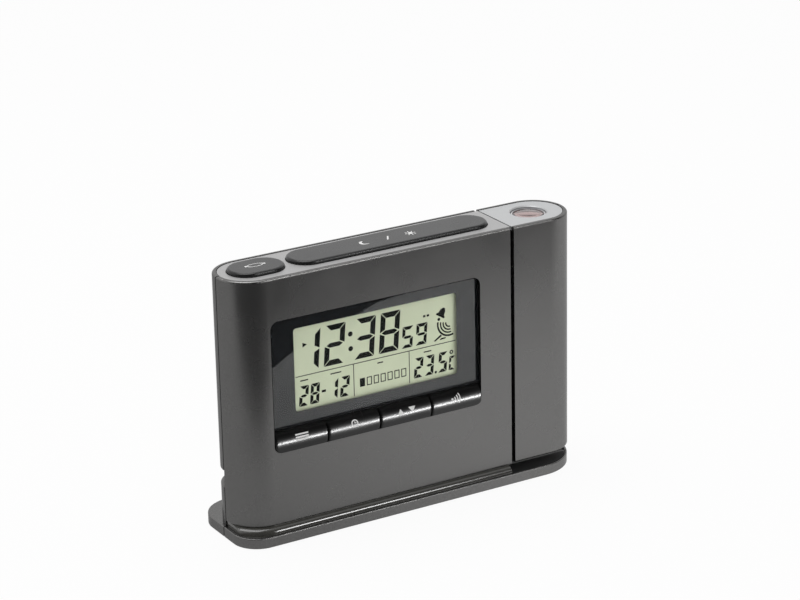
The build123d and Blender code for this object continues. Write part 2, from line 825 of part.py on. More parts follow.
def front_key(index):
    """One rounded key with softened ends, its stop flange and its stem to the rubber pad."""
    x = key_span(index)
    z = (key_z[0] + slip, key_z[1] - slip)
    front = key_face(0)
    apex = z[0] + key_apex
    low, high = key_face(z[0] - apex), key_face(z[1] - apex)
    flange_y = (ledge_back + touch, ledge_back + touch + key_flange)
    back = flange_y[1]
    left = x[0]
    crown = ThreePointArc((left, low, z[0]), (left, front, apex), (left, high, z[1]))
    outline = [crown, Line((left, high, z[1]), (left, back, z[1])),
               Line((left, back, z[1]), (left, back, z[0])), Line((left, back, z[0]), (left, low, z[0]))]
    key = extrude(Face(Wire(outline)), x[1] - left, dir=(1, 0, 0))
    key = fillet([e for e in key.edges() if e.geom_type == GeomType.CIRCLE], key_round)
    key = key & upright(key_limit(index, x, z), (front - touch, back + touch))
    flange = block(x, flange_y, (z[0] - key_flange, z[1]))
    stem_y = (back - touch, pad_front - pad_stem - key_travel - touch)
    stem = bar_y(leg_radius, (x[0] + x[1]) / 2, stem_y, (z[0] + z[1]) / 2)
    return key + flange + stem


def key_pad():
    """Rubber pad with a dome behind each key."""
    z = (key_z[0] + slip, key_z[1] - slip)
    pad = block((window_x[0] + wall, window_x[1] - wall), (pad_front, board_y[0]), z)
    domes = []
    for index in range(key_count):
        x = key_span(index)
        base = Pos((x[0] + x[1]) / 2, pad_front - pad_stem / 2, (z[0] + z[1]) / 2) * Rot(90, 0, 0)
        domes.append(base * Cone(2 * leg_radius, leg_radius, pad_stem))
    return pad + joined(domes)


# ---- power, sound and radio ----
def battery_cover():
    """Flush cover with a finger notch and grip grooves."""
    x = (cover_x[0] + slip, cover_x[1] - slip)
    z = (cover_z[0] + slip, cover_z[1] - slip)
    cover = panel(x, z, (cover_front, body_rear), cover_corner - slip)
    middle = (x[0] + x[1]) / 2
    notch_z = (z[1] - notch_height, z[1] + notch_height)
    notch_y = (body_rear - notch_depth, body_rear + wall)
    cover = cover - panel(around(middle, notch_width), notch_z, notch_y, cover_corner / 2)
    grip_x = around(middle, notch_width - grip_pitch)
    for index in range(cover_grips):
        grip_z = notch_z[0] - (index + 1) * grip_pitch
        cover = cover - block(grip_x, (body_rear - grip_depth, body_rear + wall), around(grip_z, grip_width))
    return cover


def cells():
    """Two AAA cells lying head to tail."""
    result = []
    for row, z in enumerate(cell_rows):
        left = bay_x[0] + contact_room
        right = left + cell_length
        body = (left, right - cell_tip) if row == 0 else (left + cell_tip, right)
        tip = (body[1] - touch, right) if row == 0 else (left, body[0] + touch)
        result.append(bar_x(cell_radius, body, cell_y, z) + bar_x(tip_radius, tip, cell_y, z))
    return group(result)


def battery_contacts():
    """Leaf contacts at both ends of the battery bay."""
    reach = contact_room - touch
    contacts = []
    for z in cell_rows:
        for plate_x, leaf_x in (((bay_x[0], bay_x[0] + contact_thickness), (bay_x[0], bay_x[0] + reach)),
                                ((bay_x[1] - contact_thickness, bay_x[1]), (bay_x[1] - reach, bay_x[1]))):
            plate = block(plate_x, around(cell_y, contact_size[0]), around(z, contact_size[1]))
            contacts.append(plate + block(leaf_x, around(cell_y, leaf_width), around(z, contact_thickness)))
    return group(contacts)


def dc_jack():
    """Power socket: a housing with the plug's bore and its centre pin."""
    housing = block(jack_x, around(jack_y, jack_size), around(jack_height, jack_size))
    housing = housing & prism(body_plan(wall + touch), floor_top, body_top)
    bore = bar_x(jack_bore, (jack_x[0] - wall, jack_x[1] - jack_end), jack_y, jack_height)
    return housing - bore


def jack_pin_contact():
    return bar_x(jack_pin, (jack_x[0], jack_x[1] - jack_end), jack_y, jack_height)


def ferrite_rod():
    return bar_x(rod_radius, rod_x, rod_y, rod_height)


def aerial_coil():
    coil = bar_x(rod_radius + coil_thickness, coil_x, rod_y, rod_height)
    return coil - bar_x(rod_radius, coil_x, rod_y, rod_height)


def buzzer():
    y = (body_rear - wall - buzzer_height, body_rear - wall)
    can = bar_y(buzzer_radius, buzzer_x, y, buzzer_level)
    return can - bar_y(buzzer_hole, buzzer_x, (y[1] - wall, y[1] + wall), buzzer_level)


def switch_body():
    y = (body_rear - wall - slide_can[1], body_rear - wall)
    can = block(around(slide_x, slide_can[0]), y, around(slide_level, slide_can[2]))
    room = block(around(slide_x, knob_size + 2 * slide_travel + 2 * slip), (y[0] + can_floor, y[1] + wall),
                 around(slide_level, knob_size + 2 * slip))
    return can - room


def projection_switch():
    """Sliding knob that keeps the projection on."""
    y = (body_rear - wall - slide_can[1] + can_floor + touch, body_rear + knob_proud)
    knob = block(around(slide_x, knob_size), y, around(slide_level, knob_size))
    for index in range(knob_grooves):
        x = slide_x + (index - (knob_grooves - 1) / 2) * knob_size / knob_grooves
        knob = knob - block(around(x, grip_width / 2), (y[1] - grip_depth, far), (-far, far))
    return knob


def case_screws():
    return group([shell_screw(x, z) for x, z in case_posts])


# ---- pivot ----
def pivot_shaft():
    """Hollow shaft: flange in the tower, then through the bush into the case."""
    shaft = bar_x(shaft_radius, shaft_x, body_mid, pivot_z)
    shaft = shaft + bar_x(flange_radius, flange_x, body_mid, pivot_z)
    groove_bottom = bar_x(shaft_radius - clip_groove, clip_x, body_mid, pivot_z)
    groove = bar_x(shaft_radius + clip_groove, clip_x, body_mid, pivot_z) - groove_bottom
    return shaft - groove - bar_x(shaft_bore, (-far, far), body_mid, pivot_z)


def pivot_bush():
    """Bush in the case's end plate, with a thrust face in the gap."""
    bush = bar_x(shaft_radius + running + bush_wall - touch / 2, bush_x, body_mid, pivot_z)
    bush = bush + bar_x(shaft_radius + thrust_rim, (body_right, bush_x[1]), body_mid, pivot_z)
    return bush - bar_x(shaft_radius + running, (-far, far), body_mid, pivot_z)


def friction_washer():
    """Washer that keeps the tower at the angle it is set to."""
    washer = bar_x(shaft_radius + washer_rim, washer_x, body_mid, pivot_z)
    return washer - bar_x(shaft_radius + running, (-far, far), body_mid, pivot_z)


def shaft_clip():
    """Open ring in the shaft's groove."""
    x = (clip_x[0] + touch / 2, clip_x[1] - touch / 2)
    ring = bar_x(shaft_radius + clip_rim, x, body_mid, pivot_z)
    ring = ring - bar_x(shaft_radius - clip_groove + touch / 2, (-far, far), body_mid, pivot_z)
    return ring - block((-far, far), around(body_mid, clip_opening), (pivot_z - far, pivot_z))


# ---- projector tower ----
def tower_outside():
    """Outer form of the tower, softened round its top and bottom."""
    tower = prism(tower_plan(0), body_bottom, body_top)
    tower = fillet(top_edges(tower), rim_round)
    bottom = [e for e in tower.edges() if abs(e.center().Z - body_bottom) < touch
              and e.bounding_box().size.Z < touch and e.bounding_box().size.X > touch]
    return fillet(bottom, tower_edge)


def tower_cavity():
    room = prism(tower_plan(tower_wall, tower_left - touch), body_bottom + tower_wall, body_top)
    rebate = prism(tower_plan(rim, tower_left - touch), plate_bottom, body_top + wall)
    return room + rebate


def wheel_slot():
    """Slot in the tower's rear wall for the focus wheel."""
    x = (wheel_x[0] - slip, wheel_x[1] + slip)
    return bar_x(wheel_radius + slip, x, wheel_y, wheel_z)


def wheel_boss():
    """Boss on the round end that the focus wheel's axle turns in."""
    return bar_x(axle_radius + axle_boss, (wheel_x[1] + slip, tower_right - tower_wall / 2), wheel_y, wheel_z)


def lamp_ribs():
    """Ribs under the lamp board."""
    x = (flange_x[1], tower_right - tower_wall / 2)
    z = (lamp_z - rib_thickness, lamp_z)
    front = block(x, (body_front + tower_wall / 2, body_front + tower_wall + wall), z)
    return front + block(x, (body_rear - tower_wall - wall, body_rear - tower_wall / 2), z)


def tower_shell():
    posts = joined([bar_y(post_radius, x, (body_front + tower_wall / 2, body_rear - tower_wall / 2), z)
                    for x, z in tower_posts])
    inside = (posts + wheel_boss() + lamp_ribs()) & prism(tower_plan(tower_wall / 2), body_bottom, body_top)
    shell = tower_outside() - tower_cavity() + inside - wheel_slot()
    axle_hole = (wheel_x[1], tower_right - tower_wall)
    return shell - bar_x(axle_radius + touch, axle_hole, wheel_y, wheel_z)


def tower_front_shell():
    shell = tower_shell()
    for x, z in tower_posts:
        shell = shell - bar_y(screw_radius, x, (seam - screw_reach, seam + touch), z)
    return front_half(shell)


def tower_rear_shell():
    shell = tower_shell()
    for x, z in tower_posts:
        shell = shell - bar_y(screw_radius + slip, x, (seam - touch, body_rear), z)
        shell = shell - bar_y(head_radius + slip, x, (head_seat, body_rear + touch), z)
    return rear_half(shell)


def tower_end_plate():
    """Black end of the tower, facing the case, with the shaft's hole."""
    y = (body_front + tower_wall + touch, body_rear - tower_wall - touch)
    z = (body_bottom + tower_wall + touch, plate_bottom - touch)
    plate = block((tower_left, tower_left + end_plate), y, z)
    return plate - bar_x(shaft_radius + running, (-far, far), body_mid, pivot_z)


def tower_top_plate():
    left = body_right + plate_overhang + top_gap
    plate = prism(tower_plan(plate_inset, left), plate_bottom, plate_top)
    plate = plate - bar_z(lens_hole, tower_mid, body_mid, (plate_bottom - 1, plate_top + 1))
    circles = [e for e in plate.edges() if e.geom_type == GeomType.CIRCLE]
    rim_edge = [e for e in circles if abs(e.radius - lens_hole) < touch and e.center().Z > plate_top - touch]
    return chamfer(rim_edge, lens_chamfer)


def tower_screws():
    return group([shell_screw(x, z) for x, z in tower_posts])


def lamp_board():
    z = (lamp_z, lamp_z + board_thickness)
    board = block(around(tower_mid, lamp_board_length), (body_front, body_rear), z)
    return board & prism(tower_plan(tower_wall + touch), body_bottom, body_top)


def projector_lamp():
    """Red light-emitting diode under the projection display."""
    base = lamp_z + board_thickness
    collar = bar_z(lamp_radius + lamp_rim, tower_mid, body_mid, (base, base + lamp_collar))
    stem = bar_z(lamp_radius, tower_mid, body_mid, (base, base + lamp_body))
    return collar + stem + Pos(tower_mid, body_mid, base + lamp_body) * Sphere(lamp_radius)


def lamp_tube():
    """Black tube between the lamp board and the projection display."""
    z = (lamp_z + board_thickness, imager_z)
    seat_top = imager_z - condenser_drop
    tube = bar_z(tube_radius, tower_mid, body_mid, z) - bar_z(tube_bore, tower_mid, body_mid, z)
    seat = bar_z(tube_bore, tower_mid, body_mid, (seat_top - condenser_seat, seat_top))
    return tube + seat - bar_z(condenser_opening, tower_mid, body_mid, (z[0], seat_top + touch))


def condenser_lens():
    """Plano-convex lens that spreads the lamp's light over the display."""
    low = imager_z - condenser_drop
    high = low + condenser_thickness
    ball = Pos(tower_mid, body_mid, high - condenser_curve) * Sphere(condenser_curve)
    return bar_z(tube_bore - touch, tower_mid, body_mid, (low, high)) & ball


def projector_display():
    """Small display whose digits are projected."""
    size = 2 * (tube_radius - imager_corner)
    return block(around(tower_mid, size), around(body_mid, size), (imager_z, imager_z + imager_thickness))


def barrel_guide():
    """Tube that the lens barrel slides in, cut away for the crank pin."""
    z = (imager_z + imager_thickness, barrel_z[1] - focus_travel - guide_drop)
    guide = bar_z(tube_radius, tower_mid, body_mid, z) - bar_z(tube_bore, tower_mid, body_mid, z)
    window_z = around(wheel_z, 2 * (focus_travel + crank_pin + pin_play))
    return guide - block((tower_mid, wheel_x[0]), around(body_mid, guide_window), window_z)


def lens_barrel():
    """Sliding lens mount: a neck in the plate's hole, and a groove that the crank pin lifts."""
    field_radius = barrel_radius - barrel_wall
    barrel = bar_z(barrel_radius, tower_mid, body_mid, barrel_z)
    neck = bar_z(neck_radius, tower_mid, body_mid, (barrel_z[0], neck_top))
    bore = bar_z(field_radius - lens_seat, tower_mid, body_mid, (barrel_z[0], neck_top))
    lower_seat = barrel_z[0] + field_recess + field_thickness + touch
    upper = bar_z(neck_radius - neck_wall, tower_mid, body_mid, (lens_low() - touch, neck_top))
    lower = bar_z(field_radius, tower_mid, body_mid, (barrel_z[0], lower_seat))
    groove_x = (tower_mid + barrel_radius - crank_reach - touch, tower_mid + barrel_radius + slip)
    groove_y = around(body_mid, guide_window + 2 * pin_play)
    groove = block(groove_x, groove_y, around(wheel_z, 2 * crank_pin + pin_play))
    return barrel + neck - bore - upper - lower - groove


def lens_low():
    """Height of the projection lens's flat face."""
    return neck_top - lens_recess - lens_edge * lens_thickness


def lens_form(z, radius, thickness):
    """Plano-convex lens, flat side down, of a given edge radius and middle thickness."""
    bulge = (1 - lens_edge) * thickness
    curve = (radius ** 2 + bulge ** 2) / (2 * bulge)
    ball = Pos(tower_mid, body_mid, z + thickness - curve) * Sphere(curve)
    return ball & bar_z(radius, tower_mid, body_mid, (z, z + thickness))


def projection_lens():
    return lens_form(lens_low(), neck_radius - neck_wall - touch, lens_thickness)


def field_lens():
    return lens_form(barrel_z[0] + field_recess, barrel_radius - barrel_wall - touch, field_thickness)


def focus_wheel():
    """Notched thumb wheel with its axle and the pin that moves the barrel."""
    wheel = bar_x(wheel_radius, wheel_x, wheel_y, wheel_z)
    middle_x = (wheel_x[0] + wheel_x[1]) / 2
    for index in range(wheel_notches):
        turn = 360 * index / wheel_notches
        notch = Pos(0, wheel_radius, 0) * Rot(45, 0, 0) * Box(wheel_thickness + 1, notch_size, notch_size)
        wheel = wheel - Pos(middle_x, wheel_y, wheel_z) * Rot(turn, 0, 0) * notch
    axle = bar_x(axle_radius, (wheel_x[1] - touch, tower_right - tower_wall - axle_end), wheel_y, wheel_z)
    pin_x = (tower_mid + barrel_radius - crank_reach, wheel_x[0] + touch)
    return wheel + axle + bar_x(crank_pin, pin_x, wheel_y - crank_radius, wheel_z)


# ---- cables ----
def tube_along(points):
    """Round cable along two straight runs, joined by an arc as large as they allow."""
    first = Vector(*points[1]) - Vector(*points[0])
    second = Vector(*points[2]) - Vector(*points[1])
    turn = math.radians(first.get_angle(second))
    radius = run_share * min(first.length, second.length) / math.tan(turn / 2)
    print("cable bend radius", round(radius, 2))
    path = FilletPolyline(*points, radius=radius)
    start = Plane(origin=path @ 0, z_dir=path % 0)
    return sweep(start * Circle(cable_radius), path=path)


def case_cable():
    """Leads from the main board into the hollow shaft."""
    x = board_x[1] - cable_inset
    start = (x, board_y[1] + cable_radius + touch, pivot_z + cable_rise)
    return tube_along([start, (x, body_mid, pivot_z), (cable_middle, body_mid, pivot_z)])


def tower_cable():
    """Leads from the hollow shaft up to the lamp board."""
    x = flange_x[1] + cable_turn
    return tube_along([(cable_middle, body_mid, pivot_z), (x, body_mid, pivot_z), (x, body_mid, lamp_z)])


nodes = {
    "front_shell": front_shell, "rear_shell": rear_shell, "body_end_plate": body_end_plate,
    "base_bead": base_bead, "base_tray": base_tray, "rubber_feet": rubber_feet,
    "top_plate": top_plate, "top_board": top_board, "button_switches": button_switches,
    "flip_button": lambda: top_button(flip_x, switch_spots[:1]),
    "snooze_button": lambda: top_button(snooze_x, switch_spots[1:]),
    "display_window": display_window, "window_mask": window_mask, "display_glass": display_glass,
    "light_guide": light_guide, "contact_strip": contact_strip, "main_board": main_board,
    "board_chip": board_chip, "quartz_crystal": quartz_crystal, "board_screws": board_screws,
    "key_pad": key_pad, "mode_key": lambda: front_key(0), "set_key": lambda: front_key(1),
    "adjust_key": lambda: front_key(2), "receive_key": lambda: front_key(3),
    "battery_cover": battery_cover, "cells": cells, "battery_contacts": battery_contacts,
    "dc_jack": dc_jack, "dc_jack_pin": jack_pin_contact, "ferrite_rod": ferrite_rod,
    "aerial_coil": aerial_coil, "buzzer": buzzer, "switch_body": switch_body,
    "projection_switch": projection_switch, "case_screws": case_screws,
    "pivot_shaft": pivot_shaft, "pivot_bush": pivot_bush, "friction_washer": friction_washer,
    "shaft_clip": shaft_clip, "tower_front_shell": tower_front_shell, "tower_rear_shell": tower_rear_shell,
    "tower_end_plate": tower_end_plate, "tower_top_plate": tower_top_plate, "tower_screws": tower_screws,
    "lamp_board": lamp_board, "projector_lamp": projector_lamp, "lamp_tube": lamp_tube,
    "condenser_lens": condenser_lens, "projector_display": projector_display,
    "barrel_guide": barrel_guide, "lens_barrel": lens_barrel, "projection_lens": projection_lens,
    "field_lens": field_lens, "focus_wheel": focus_wheel, "case_cable": case_cable,
    "tower_cable": tower_cable,
}

os.makedirs("parts", exist_ok=True)
for name, make in nodes.items():
    print(name, flush=True)
    export_step(make(), f"parts/{name}.step")
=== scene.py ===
import bmesh
import bpy
import json
import math
from mathutils import Matrix, Vector


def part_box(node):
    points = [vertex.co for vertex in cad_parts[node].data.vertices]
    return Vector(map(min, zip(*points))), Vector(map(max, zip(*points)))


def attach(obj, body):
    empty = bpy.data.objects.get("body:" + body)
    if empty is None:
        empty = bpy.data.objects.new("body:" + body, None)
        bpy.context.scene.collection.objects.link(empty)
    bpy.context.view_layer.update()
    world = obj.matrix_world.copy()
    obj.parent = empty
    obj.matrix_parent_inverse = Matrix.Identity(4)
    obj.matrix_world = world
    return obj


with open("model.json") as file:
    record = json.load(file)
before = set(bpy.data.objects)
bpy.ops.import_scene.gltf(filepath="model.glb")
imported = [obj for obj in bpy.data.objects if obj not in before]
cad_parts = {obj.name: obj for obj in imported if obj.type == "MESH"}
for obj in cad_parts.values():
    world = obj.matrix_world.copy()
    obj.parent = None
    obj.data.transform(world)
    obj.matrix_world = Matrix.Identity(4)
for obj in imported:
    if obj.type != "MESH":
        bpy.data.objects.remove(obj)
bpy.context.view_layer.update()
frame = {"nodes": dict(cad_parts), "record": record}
nodes = frame["nodes"]
MM = 0.001
WHITE = (1, 1, 1, 1)


def add_object(name, data):
    made = bpy.data.objects.new(name, data)
    bpy.context.scene.collection.objects.link(made)
    return made


# ---- camera: the view of the photograph, as an 800 by 600 picture ----
PICTURE_WIDTH = 800
SENSOR_WIDTH = 36.0
FOCAL_PIXELS = 2868.7
CAMERA_AZIMUTH = math.radians(-30.418)
CAMERA_ELEVATION = math.radians(20.013)
CAMERA_ROLL = math.radians(-1.230)
CAMERA_DISTANCE = 1027.5 * MM
CAMERA_TARGET = Vector((2.354, -2.720, 74.704)) * MM
CAMERA_NEAR = 0.05
CAMERA_FAR = 20.0


def make_camera():
    data = bpy.data.cameras.new("camera")
    data.sensor_width = SENSOR_WIDTH
    data.lens = FOCAL_PIXELS * SENSOR_WIDTH / PICTURE_WIDTH
    data.clip_start = CAMERA_NEAR
    data.clip_end = CAMERA_FAR
    around = Vector((math.sin(CAMERA_AZIMUTH), -math.cos(CAMERA_AZIMUTH), 0.0))
    back = around * math.cos(CAMERA_ELEVATION) + Vector((0.0, 0.0, math.sin(CAMERA_ELEVATION)))
    right = Vector((math.cos(CAMERA_AZIMUTH), math.sin(CAMERA_AZIMUTH), 0.0))
    up = back.cross(right)
    x_axis = right * math.cos(CAMERA_ROLL) + up * math.sin(CAMERA_ROLL)
    y_axis = up * math.cos(CAMERA_ROLL) - right * math.sin(CAMERA_ROLL)
    turn = Matrix((x_axis, y_axis, back)).transposed().to_4x4()
    camera = add_object("camera", data)
    camera.matrix_world = Matrix.Translation(CAMERA_TARGET + back * CAMERA_DISTANCE) @ turn
    bpy.context.scene.camera = camera


# ---- node trees ----
class Tree:
    """A node tree being filled. A source is a pair: a node and one of its outputs."""

    def __init__(self, owner):
        owner.use_nodes = True
        self.tree = owner.node_tree
        self.tree.nodes.clear()

    def add(self, kind, sockets=None, **properties):
        """New node, with values for its input sockets and for its properties."""
        node = self.tree.nodes.new(kind)
        for name, value in properties.items():
            setattr(node, name, value)
        for socket, value in (sockets or {}).items():
            node.inputs[socket].default_value = value
        return node

    def link(self, source, target, socket):
        node, output = source
        self.tree.links.new(node.outputs[output], target.inputs[socket])

    def split(self, source):
        """Separates a vector into X, Y and Z."""
        node = self.add("ShaderNodeSeparateXYZ")
        self.link(source, node, 0)
        return node

    def compute(self, operation, *operands):
        """Result of a calculation whose operands are numbers or sources."""
        node = self.add("ShaderNodeMath", operation=operation)
        for socket, operand in enumerate(operands):
            if isinstance(operand, tuple):
                self.link(operand, node, socket)
            else:
                node.inputs[socket].default_value = operand
        return node, 0

    def ramp(self, source, stops):
        """Colour for a value, from stops of a value and a colour."""
        ramp = self.add("ShaderNodeValToRGB")
        elements = ramp.color_ramp.elements
        while len(elements) < len(stops):
            elements.new(0.5)
        for element, (position, colour) in zip(elements, stops):
            element.position = position
            element.color = (*colour, 1.0)
        self.link(source, ramp, "Fac")
        return ramp, "Color"

    def mix(self, share, first, second):
        """Mix of two shaders, where share is the part of the second one."""
        node = self.add("ShaderNodeMixShader")
        for socket, source in enumerate((share, first, second)):
            self.link(source, node, socket)
        return node, 0


class Look(Tree):
    """A material with one main shader, and textures placed in metres of the object."""

    SOCKETS = {"metallic": "Metallic", "roughness": "Roughness", "ior": "IOR", "coat": "Coat Weight",
               "coat_roughness": "Coat Roughness", "transmission": "Transmission Weight",
               "specular": "Specular IOR Level", "edge": "Specular Tint"}

    def __init__(self, name):
        self.material = bpy.data.materials.new(name)
        super().__init__(self.material)
        self.output = self.add("ShaderNodeOutputMaterial")
        self.shader = self.add("ShaderNodeBsdfPrincipled")
        self.link((self.shader, 0), self.output, 0)
        self.place = self.add("ShaderNodeTexCoord")

    def plain(self, **values):
        """Sets the main shader's own sockets."""
        for name, value in values.items():
            self.shader.inputs[self.SOCKETS[name]].default_value = value

    def noise(self, scale, detail=2.0, stretch=(1, 1, 1)):
        """Noise, where scale is the number of grains per metre."""
        mapping = self.add("ShaderNodeMapping", {"Scale": stretch})
        self.link((self.place, "Object"), mapping, "Vector")
        texture = self.add("ShaderNodeTexNoise", {"Scale": scale, "Detail": detail})
        self.link((mapping, 0), texture, "Vector")
        return texture, "Fac"

    def shades(self, source, colour, low, high=1.0):
        """Feeds noise to the shader's colour, as shades of one colour from low to high."""
        stops = [(NOISE_LOW, grey(low, colour)), (NOISE_HIGH, grey(high, colour))]
        self.link(self.ramp(source, stops), self.shader, "Base Color")

    def gloss(self, source, low, high):
        """Feeds noise to the shader's roughness, between two values."""
        spread = self.add("ShaderNodeMapRange", {"From Min": NOISE_LOW, "From Max": NOISE_HIGH,
                                                 "To Min": low, "To Max": high})
        self.link(source, spread, "Value")
        self.link((spread, "Result"), self.shader, "Roughness")

    def bump(self, source, height, strength):
        """Surface relief of a given height in metres."""
        bump = self.add("ShaderNodeBump", {"Strength": strength, "Distance": height})
        self.link(source, bump, "Height")
        self.link((bump, "Normal"), self.shader, "Normal")


# ---- materials ----
NOISE_LOW = 0.3                # most of a noise texture's values lie between these two
NOISE_HIGH = 0.7
FLAKE_MIDDLE = 0.5
FLAKE_REACH = 0.18             # from the middle to the value of the darkest and of the brightest flakes
FLAKE_SPARKLE = 1.3            # how much further bright flakes go than dark ones
PAINT_FLAKES = 5200            # noise scales, in grains per metre
PAINT_RIPPLES = 3800
PAINT_PATCHES = 60
PLASTIC_SHADES = 180
PLASTIC_PATCHES = 70
PLASTIC_SPARKS = 900
CLEAR_SHADES = 40
CLEAR_PATCHES = 300
METAL_SHADES = 500
METAL_PATCHES = 900
INK_SHADES = 2500
INK_PATCHES = 900
PAINT_EDGE_TINT = (0.7, 0.7, 0.7, 1.0)
PAINT_RELIEF = 0.000003
PAINT_RELIEF_STRENGTH = 0.35
PLASTIC_RELIEF_STRENGTH = 0.5
COAT_ROUGHNESS = 0.04
SHADOW_TINT = 0.93             # light that a clear piece lets through to its shadow
# painted shade: dark matt colour for the window's bevels, standing in for the shadow in the gap around the
# window
PAINTED_EDGE_SHADE_COLOUR = (0.006, 0.006, 0.0065, 1.0)
FACING_FRONT = 0.95            # a face turned less than this to the front or rear is a bevel
FACING_DOWN = -2.0             # weight that counts the lower bevel among the clear faces
TRACK_SCALE = 160
TRACK_WIDTH = 0.03
TRACK_OFFSET = 0.35
TRACK_GREEN = (0.03, 0.17, 0.06, 1)
BOARD_GREEN = (0.012, 0.10, 0.035, 1)
BOARD_DARK_GREEN = (0.010, 0.085, 0.03, 1)


def grey(value, tint):
    """A tint made lighter or darker."""
    return tuple(value * t for t in tint)


def flake_paint(name, value, tint, roughness, metallic, contrast):
    """Metallic paint with fine flakes and a faint unevenness."""
    look = Look(name)
    look.plain(metallic=metallic, specular=0.5, edge=PAINT_EDGE_TINT)
    stops = [(FLAKE_MIDDLE - FLAKE_REACH, grey(value * (1 - contrast), tint)),
             (FLAKE_MIDDLE, grey(value, tint)),
             (FLAKE_MIDDLE + FLAKE_REACH, grey(value * (1 + FLAKE_SPARKLE * contrast), tint))]
    look.link(look.ramp(look.noise(PAINT_FLAKES, detail=3.0), stops), look.shader, "Base Color")
    look.gloss(look.noise(PAINT_PATCHES), low=roughness - 0.03, high=roughness + 0.03)
    look.bump(look.noise(PAINT_RIPPLES), PAINT_RELIEF, PAINT_RELIEF_STRENGTH)
    return look.material


def plastic(name, colour, roughness, texture=0.0, coat=0.0, variation=0.12, scale=PLASTIC_SPARKS,
            specular=0.5, metallic=0.0):
    """Moulded plastic: slight changes of colour and gloss; texture is the height of its relief in metres."""
    look = Look(name)
    look.plain(coat=coat, coat_roughness=COAT_ROUGHNESS, specular=specular, metallic=metallic)
    look.shades(look.noise(PLASTIC_SHADES), colour, low=1 - variation, high=1 + variation)
    look.gloss(look.noise(PLASTIC_PATCHES), low=roughness * 0.9, high=roughness * 1.1)
    if texture:
        look.bump(look.noise(scale, detail=4.0), texture, PLASTIC_RELIEF_STRENGTH)
    return look.material


def clear(name, colour, roughness=0.0, ior=1.49, painted_edge_shade=False):
    """Clear plastic or glass that casts a pale shadow; a plate's bevels may get painted shade, a dark matt
    colour standing in for the shadowed gap around the plate.
    """
    look = Look(name)
    look.plain(transmission=1.0, ior=ior)
    look.shades(look.noise(CLEAR_SHADES), colour, low=0.985)
    look.gloss(look.noise(CLEAR_PATCHES), low=roughness, high=roughness + 0.012)
    shadow = look.add("ShaderNodeBsdfTransparent", {"Color": (*grey(SHADOW_TINT, colour), 1.0)})
    rays = look.add("ShaderNodeLightPath")
    surface = look.mix((rays, "Is Shadow Ray"), (look.shader, 0), (shadow, 0))
    # painted shade on the bevels, in place of the shadowed gap beside them
    if painted_edge_shade:
        edge = look.add("ShaderNodeBsdfDiffuse", {"Color": PAINTED_EDGE_SHADE_COLOUR})
        surface = look.mix(broad_faces(look), (edge, 0), surface)
    look.link(surface, look.output, 0)
    return look.material


def broad_faces(look):
    """1 on the faces turned to the front, the rear or downwards, 0 on a plate's other bevels, which get the
    painted shade.
    """
    normal = look.split((look.add("ShaderNodeNewGeometry"), "True Normal"))
    upright = look.compute("ABSOLUTE", (normal, "Y"))
    under = look.compute("MULTIPLY", (normal, "Z"), FACING_DOWN)
    return look.compute("GREATER_THAN", look.compute("MAXIMUM", upright, under), FACING_FRONT)


def metal(name, colour, roughness, stretch=(1, 1, 1)):
    look = Look(name)
    look.plain(metallic=1.0)
    look.shades(look.noise(METAL_SHADES, stretch=stretch), colour, low=0.85, high=1.08)
    look.gloss(look.noise(METAL_PATCHES, stretch=stretch), low=roughness * 0.75, high=roughness * 1.25)
    return look.material


def circuit_board(name):
    """Green solder mask over copper tracks."""
    look = Look(name)
    look.plain(coat=0.3, coat_roughness=0.1, roughness=0.4)
    tracks = look.add("ShaderNodeTexBrick", {"Scale": TRACK_SCALE, "Mortar Size": TRACK_WIDTH,
                                             "Color1": BOARD_GREEN, "Color2": BOARD_DARK_GREEN,
                                             "Mortar": TRACK_GREEN}, offset=TRACK_OFFSET)
    look.link((look.place, "Object"), tracks, "Vector")
    look.link((tracks, "Color"), look.shader, "Base Color")
    return look.material


def print_paint(name, colour, roughness, specular):
    """Thin printed ink."""
    look = Look(name)
    look.plain(specular=specular)
    look.shades(look.noise(INK_SHADES), colour, low=0.94)
    look.gloss(look.noise(INK_PATCHES), low=roughness - 0.05, high=roughness + 0.05)
    return look.material


